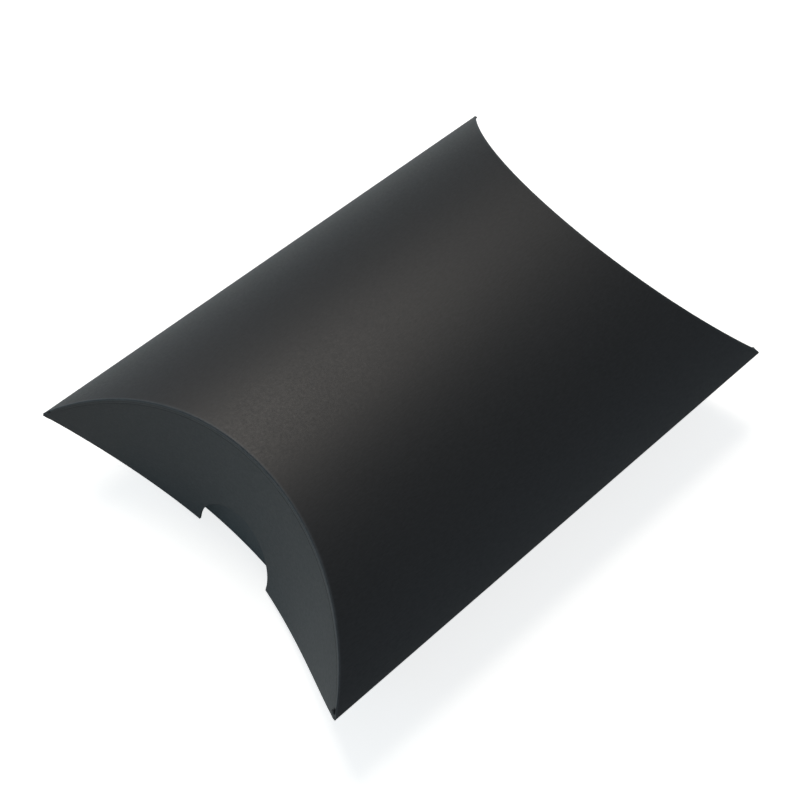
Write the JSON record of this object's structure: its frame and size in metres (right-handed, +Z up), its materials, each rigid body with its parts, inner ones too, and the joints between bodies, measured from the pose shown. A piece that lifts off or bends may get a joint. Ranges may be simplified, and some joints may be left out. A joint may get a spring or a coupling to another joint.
{
  "type": "pillow box",
  "caption": "Black card pillow box: two bowed panels, rounded side folds, a glued seam and curved nesting end flaps with thumb notches.",
  "frame": {"origin": "lowest line of the belly, midway along and across the box", "axes": "+Y along the box from the front end to the back end, +X across it towards the glued seam, +Z up"},
  "size_m": [0.0899, 0.1292, 0.035],
  "materials": {
    "black_card": "matte",
    "glue": "satin"
  },
  "bodies": {
    "box": {"top_panel": "black_card", "bottom_panel": "black_card", "left_side_fold": "black_card", "right_side_fold": "black_card", "glue_tab": "black_card", "glue_line": "glue"},
    "front_outer_flap_centre": {"front_outer_flap_centre": "black_card"},
    "front_outer_flap_left_1": {"front_outer_flap_left_1": "black_card"},
    "front_outer_flap_right_1": {"front_outer_flap_right_1": "black_card"},
    "front_outer_flap_left_2": {"front_outer_flap_left_2": "black_card"},
    "front_outer_flap_right_2": {"front_outer_flap_right_2": "black_card"},
    "front_outer_flap_left_3": {"front_outer_flap_left_3": "black_card"},
    "front_outer_flap_right_3": {"front_outer_flap_right_3": "black_card"},
    "front_outer_flap_left_4": {"front_outer_flap_left_4": "black_card"},
    "front_outer_flap_right_4": {"front_outer_flap_right_4": "black_card"},
    "front_inner_flap_centre": {"front_inner_flap_centre": "black_card"},
    "front_inner_flap_left_1": {"front_inner_flap_left_1": "black_card"},
    "front_inner_flap_right_1": {"front_inner_flap_right_1": "black_card"},
    "front_inner_flap_left_2": {"front_inner_flap_left_2": "black_card"},
    "front_inner_flap_right_2": {"front_inner_flap_right_2": "black_card"},
    "front_inner_flap_left_3": {"front_inner_flap_left_3": "black_card"},
    "front_inner_flap_right_3": {"front_inner_flap_right_3": "black_card"},
    "front_inner_flap_left_4": {"front_inner_flap_left_4": "black_card"},
    "front_inner_flap_right_4": {"front_inner_flap_right_4": "black_card"},
    "back_outer_flap_centre": {"back_outer_flap_centre": "black_card"},
    "back_outer_flap_left_1": {"back_outer_flap_left_1": "black_card"},
    "back_outer_flap_right_1": {"back_outer_flap_right_1": "black_card"},
    "back_outer_flap_left_2": {"back_outer_flap_left_2": "black_card"},
    "back_outer_flap_right_2": {"back_outer_flap_right_2": "black_card"},
    "back_outer_flap_left_3": {"back_outer_flap_left_3": "black_card"},
    "back_outer_flap_right_3": {"back_outer_flap_right_3": "black_card"},
    "back_outer_flap_left_4": {"back_outer_flap_left_4": "black_card"},
    "back_outer_flap_right_4": {"back_outer_flap_right_4": "black_card"},
    "back_inner_flap_centre": {"back_inner_flap_centre": "black_card"},
    "back_inner_flap_left_1": {"back_inner_flap_left_1": "black_card"},
    "back_inner_flap_right_1": {"back_inner_flap_right_1": "black_card"},
    "back_inner_flap_left_2": {"back_inner_flap_left_2": "black_card"},
    "back_inner_flap_right_2": {"back_inner_flap_right_2": "black_card"},
    "back_inner_flap_left_3": {"back_inner_flap_left_3": "black_card"},
    "back_inner_flap_right_3": {"back_inner_flap_right_3": "black_card"},
    "back_inner_flap_left_4": {"back_inner_flap_left_4": "black_card"},
    "back_inner_flap_right_4": {"back_inner_flap_right_4": "black_card"}
  },
  "joints": [
    {"name": "front_outer_flap_hinge", "type": "hinge", "parent": "box", "child": "front_outer_flap_centre", "pos_m": [0, -0.04553, 0.035], "axis": [-1, 0, 0], "range_deg": [0, 79.9]},
    {"name": "front_outer_flap_left_1_bend", "type": "hinge", "parent": "front_outer_flap_centre", "child": "front_outer_flap_left_1", "pos_m": [-0.00749, -0.04553, 0.035], "axis": [0.0003, -0.1409, -0.99], "range_deg": [0, 21.02]},
    {"name": "front_outer_flap_right_1_bend", "type": "hinge", "parent": "front_outer_flap_centre", "child": "front_outer_flap_right_1", "pos_m": [0.00749, -0.04553, 0.035], "axis": [0.0003, 0.1409, 0.99], "range_deg": [0, 21.02]},
    {"name": "front_outer_flap_left_2_bend", "type": "hinge", "parent": "front_outer_flap_left_1", "child": "front_outer_flap_left_2", "pos_m": [-0.02036, -0.04829, 0.03252], "axis": [0.0007, -0.1408, -0.99], "range_deg": [0, 19.99]},
    {"name": "front_outer_flap_right_2_bend", "type": "hinge", "parent": "front_outer_flap_right_1", "child": "front_outer_flap_right_2", "pos_m": [0.02036, -0.04829, 0.03252], "axis": [0.0007, 0.1408, 0.99], "range_deg": [0, 19.99]},
    {"name": "front_outer_flap_left_3_bend", "type": "hinge", "parent": "front_outer_flap_left_2", "child": "front_outer_flap_left_3", "pos_m": [-0.03054, -0.0527, 0.02856], "axis": [0.0009, -0.1407, -0.99], "range_deg": [0, 19.33]},
    {"name": "front_outer_flap_right_3_bend", "type": "hinge", "parent": "front_outer_flap_right_2", "child": "front_outer_flap_right_3", "pos_m": [0.03054, -0.0527, 0.02856], "axis": [0.0009, 0.1407, 0.99], "range_deg": [0, 19.33]},
    {"name": "front_outer_flap_left_4_bend", "type": "hinge", "parent": "front_outer_flap_left_3", "child": "front_outer_flap_left_4", "pos_m": [-0.03851, -0.05806, 0.02374], "axis": [0.0009, -0.1407, -0.99], "range_deg": [0, 19.98], "deforming": ["front_outer_flap_left_4"]},
    {"name": "front_outer_flap_right_4_bend", "type": "hinge", "parent": "front_outer_flap_right_3", "child": "front_outer_flap_right_4", "pos_m": [0.03851, -0.05806, 0.02374], "axis": [0.0009, 0.1407, 0.99], "range_deg": [0, 19.98], "deforming": ["front_outer_flap_right_4"]},
    {"name": "front_inner_flap_hinge", "type": "hinge", "parent": "box", "child": "front_inner_flap_centre", "pos_m": [0, -0.0471, 0], "axis": [1, 0, 0], "range_deg": [0, 92.02]},
    {"name": "front_inner_flap_left_1_bend", "type": "hinge", "parent": "front_inner_flap_centre", "child": "front_inner_flap_left_1", "pos_m": [-0.00749, -0.0471, 0], "axis": [0, -0.0349, -0.9994], "range_deg": [0, 21.86]},
    {"name": "front_inner_flap_right_1_bend", "type": "hinge", "parent": "front_inner_flap_centre", "child": "front_inner_flap_right_1", "pos_m": [0.00749, -0.0471, 0], "axis": [0, 0.0349, 0.9994], "range_deg": [0, 21.86]},
    {"name": "front_inner_flap_left_2_bend", "type": "hinge", "parent": "front_inner_flap_left_1", "child": "front_inner_flap_left_2", "pos_m": [-0.02036, -0.0495, 0.00248], "axis": [0, -0.0349, -0.9994], "range_deg": [0, 20.69]},
    {"name": "front_inner_flap_right_2_bend", "type": "hinge", "parent": "front_inner_flap_right_1", "child": "front_inner_flap_right_2", "pos_m": [0.02036, -0.0495, 0.00248], "axis": [0, 0.0349, 0.9994], "range_deg": [0, 20.69]},
    {"name": "front_inner_flap_left_3_bend", "type": "hinge", "parent": "front_inner_flap_left_2", "child": "front_inner_flap_left_3", "pos_m": [-0.03054, -0.05332, 0.00644], "axis": [0, -0.0349, -0.9994], "range_deg": [0, 19.83]},
    {"name": "front_inner_flap_right_3_bend", "type": "hinge", "parent": "front_inner_flap_right_2", "child": "front_inner_flap_right_3", "pos_m": [0.03054, -0.05332, 0.00644], "axis": [0, 0.0349, 0.9994], "range_deg": [0, 19.83]},
    {"name": "front_inner_flap_left_4_bend", "type": "hinge", "parent": "front_inner_flap_left_3", "child": "front_inner_flap_left_4", "pos_m": [-0.03851, -0.05797, 0.01126], "axis": [0, -0.0349, -0.9994], "range_deg": [0, 20.25], "deforming": ["front_inner_flap_left_4"]},
    {"name": "front_inner_flap_right_4_bend", "type": "hinge", "parent": "front_inner_flap_right_3", "child": "front_inner_flap_right_4", "pos_m": [0.03851, -0.05797, 0.01126], "axis": [0, 0.0349, 0.9994], "range_deg": [0, 20.25], "deforming": ["front_inner_flap_right_4"]},
    {"name": "back_outer_flap_hinge", "type": "hinge", "parent": "box", "child": "back_outer_flap_centre", "pos_m": [0, 0.04553, 0.035], "axis": [1, 0, 0], "range_deg": [0, 79.9]},
    {"name": "back_outer_flap_left_1_bend", "type": "hinge", "parent": "back_outer_flap_centre", "child": "back_outer_flap_left_1", "pos_m": [-0.00749, 0.04553, 0.035], "axis": [-0.0003, -0.1409, 0.99], "range_deg": [0, 21.02]},
    {"name": "back_outer_flap_right_1_bend", "type": "hinge", "parent": "back_outer_flap_centre", "child": "back_outer_flap_right_1", "pos_m": [0.00749, 0.04553, 0.035], "axis": [-0.0003, 0.1409, -0.99], "range_deg": [0, 21.02]},
    {"name": "back_outer_flap_left_2_bend", "type": "hinge", "parent": "back_outer_flap_left_1", "child": "back_outer_flap_left_2", "pos_m": [-0.02036, 0.04829, 0.03252], "axis": [-0.0007, -0.1408, 0.99], "range_deg": [0, 19.99]},
    {"name": "back_outer_flap_right_2_bend", "type": "hinge", "parent": "back_outer_flap_right_1", "child": "back_outer_flap_right_2", "pos_m": [0.02036, 0.04829, 0.03252], "axis": [-0.0007, 0.1408, -0.99], "range_deg": [0, 19.99]},
    {"name": "back_outer_flap_left_3_bend", "type": "hinge", "parent": "back_outer_flap_left_2", "child": "back_outer_flap_left_3", "pos_m": [-0.03054, 0.0527, 0.02856], "axis": [-0.0009, -0.1407, 0.99], "range_deg": [0, 19.33]},
    {"name": "back_outer_flap_right_3_bend", "type": "hinge", "parent": "back_outer_flap_right_2", "child": "back_outer_flap_right_3", "pos_m": [0.03054, 0.0527, 0.02856], "axis": [-0.0009, 0.1407, -0.99], "range_deg": [0, 19.33]},
    {"name": "back_outer_flap_left_4_bend", "type": "hinge", "parent": "back_outer_flap_left_3", "child": "back_outer_flap_left_4", "pos_m": [-0.03851, 0.05806, 0.02374], "axis": [-0.0009, -0.1407, 0.99], "range_deg": [0, 19.98], "deforming": ["back_outer_flap_left_4"]},
    {"name": "back_outer_flap_right_4_bend", "type": "hinge", "parent": "back_outer_flap_right_3", "child": "back_outer_flap_right_4", "pos_m": [0.03851, 0.05806, 0.02374], "axis": [-0.0009, 0.1407, -0.99], "range_deg": [0, 19.98], "deforming": ["back_outer_flap_right_4"]},
    {"name": "back_inner_flap_hinge", "type": "hinge", "parent": "box", "child": "back_inner_flap_centre", "pos_m": [0, 0.0471, 0], "axis": [-1, 0, 0], "range_deg": [0, 92.02]},
    {"name": "back_inner_flap_left_1_bend", "type": "hinge", "parent": "back_inner_flap_centre", "child": "back_inner_flap_left_1", "pos_m": [-0.00749, 0.0471, 0], "axis": [0, -0.0349, 0.9994], "range_deg": [0, 21.86]},
    {"name": "back_inner_flap_right_1_bend", "type": "hinge", "parent": "back_inner_flap_centre", "child": "back_inner_flap_right_1", "pos_m": [0.00749, 0.0471, 0], "axis": [0, 0.0349, -0.9994], "range_deg": [0, 21.86]},
    {"name": "back_inner_flap_left_2_bend", "type": "hinge", "parent": "back_inner_flap_left_1", "child": "back_inner_flap_left_2", "pos_m": [-0.02036, 0.0495, 0.00248], "axis": [0, -0.0349, 0.9994], "range_deg": [0, 20.69]},
    {"name": "back_inner_flap_right_2_bend", "type": "hinge", "parent": "back_inner_flap_right_1", "child": "back_inner_flap_right_2", "pos_m": [0.02036, 0.0495, 0.00248], "axis": [0, 0.0349, -0.9994], "range_deg": [0, 20.69]},
    {"name": "back_inner_flap_left_3_bend", "type": "hinge", "parent": "back_inner_flap_left_2", "child": "back_inner_flap_left_3", "pos_m": [-0.03054, 0.05332, 0.00644], "axis": [0, -0.0349, 0.9994], "range_deg": [0, 19.83]},
    {"name": "back_inner_flap_right_3_bend", "type": "hinge", "parent": "back_inner_flap_right_2", "child": "back_inner_flap_right_3", "pos_m": [0.03054, 0.05332, 0.00644], "axis": [0, 0.0349, -0.9994], "range_deg": [0, 19.83]},
    {"name": "back_inner_flap_left_4_bend", "type": "hinge", "parent": "back_inner_flap_left_3", "child": "back_inner_flap_left_4", "pos_m": [-0.03851, 0.05797, 0.01126], "axis": [0, -0.0349, 0.9994], "range_deg": [0, 20.25], "deforming": ["back_inner_flap_left_4"]},
    {"name": "back_inner_flap_right_4_bend", "type": "hinge", "parent": "back_inner_flap_right_3", "child": "back_inner_flap_right_4", "pos_m": [0.03851, 0.05797, 0.01126], "axis": [0, 0.0349, -0.9994], "range_deg": [0, 20.25], "deforming": ["back_inner_flap_right_4"]}
  ],
  "couplings": [
    {"joint": "front_outer_flap_left_1_bend", "follows": "front_outer_flap_hinge", "ratio": 0.26283},
    {"joint": "front_outer_flap_right_1_bend", "follows": "front_outer_flap_hinge", "ratio": 0.26283},
    {"joint": "front_outer_flap_left_2_bend", "follows": "front_outer_flap_hinge", "ratio": 0.24993},
    {"joint": "front_outer_flap_right_2_bend", "follows": "front_outer_flap_hinge", "ratio": 0.24993},
    {"joint": "front_outer_flap_left_3_bend", "follows": "front_outer_flap_hinge", "ratio": 0.2417},
    {"joint": "front_outer_flap_right_3_bend", "follows": "front_outer_flap_hinge", "ratio": 0.2417},
    {"joint": "front_outer_flap_left_4_bend", "follows": "front_outer_flap_hinge", "ratio": 0.24978},
    {"joint": "front_outer_flap_right_4_bend", "follows": "front_outer_flap_hinge", "ratio": 0.24978},
    {"joint": "front_inner_flap_hinge", "follows": "front_outer_flap_hinge", "ratio": 1.1514},
    {"joint": "front_inner_flap_left_1_bend", "follows": "front_outer_flap_hinge", "ratio": 0.27338},
    {"joint": "front_inner_flap_right_1_bend", "follows": "front_outer_flap_hinge", "ratio": 0.27338},
    {"joint": "front_inner_flap_left_2_bend", "follows": "front_outer_flap_hinge", "ratio": 0.25869},
    {"joint": "front_inner_flap_right_2_bend", "follows": "front_outer_flap_hinge", "ratio": 0.25869},
    {"joint": "front_inner_flap_left_3_bend", "follows": "front_outer_flap_hinge", "ratio": 0.24797},
    {"joint": "front_inner_flap_right_3_bend", "follows": "front_outer_flap_hinge", "ratio": 0.24797},
    {"joint": "front_inner_flap_left_4_bend", "follows": "front_outer_flap_hinge", "ratio": 0.25324},
    {"joint": "front_inner_flap_right_4_bend", "follows": "front_outer_flap_hinge", "ratio": 0.25324},
    {"joint": "back_outer_flap_left_1_bend", "follows": "back_outer_flap_hinge", "ratio": 0.26283},
    {"joint": "back_outer_flap_right_1_bend", "follows": "back_outer_flap_hinge", "ratio": 0.26283},
    {"joint": "back_outer_flap_left_2_bend", "follows": "back_outer_flap_hinge", "ratio": 0.24993},
    {"joint": "back_outer_flap_right_2_bend", "follows": "back_outer_flap_hinge", "ratio": 0.24993},
    {"joint": "back_outer_flap_left_3_bend", "follows": "back_outer_flap_hinge", "ratio": 0.2417},
    {"joint": "back_outer_flap_right_3_bend", "follows": "back_outer_flap_hinge", "ratio": 0.2417},
    {"joint": "back_outer_flap_left_4_bend", "follows": "back_outer_flap_hinge", "ratio": 0.24978},
    {"joint": "back_outer_flap_right_4_bend", "follows": "back_outer_flap_hinge", "ratio": 0.24978},
    {"joint": "back_inner_flap_hinge", "follows": "back_outer_flap_hinge", "ratio": 1.1514},
    {"joint": "back_inner_flap_left_1_bend", "follows": "back_outer_flap_hinge", "ratio": 0.27338},
    {"joint": "back_inner_flap_right_1_bend", "follows": "back_outer_flap_hinge", "ratio": 0.27338},
    {"joint": "back_inner_flap_left_2_bend", "follows": "back_outer_flap_hinge", "ratio": 0.25869},
    {"joint": "back_inner_flap_right_2_bend", "follows": "back_outer_flap_hinge", "ratio": 0.25869},
    {"joint": "back_inner_flap_left_3_bend", "follows": "back_outer_flap_hinge", "ratio": 0.24797},
    {"joint": "back_inner_flap_right_3_bend", "follows": "back_outer_flap_hinge", "ratio": 0.24797},
    {"joint": "back_inner_flap_left_4_bend", "follows": "back_outer_flap_hinge", "ratio": 0.25324},
    {"joint": "back_inner_flap_right_4_bend", "follows": "back_outer_flap_hinge", "ratio": 0.25324}
  ]
}
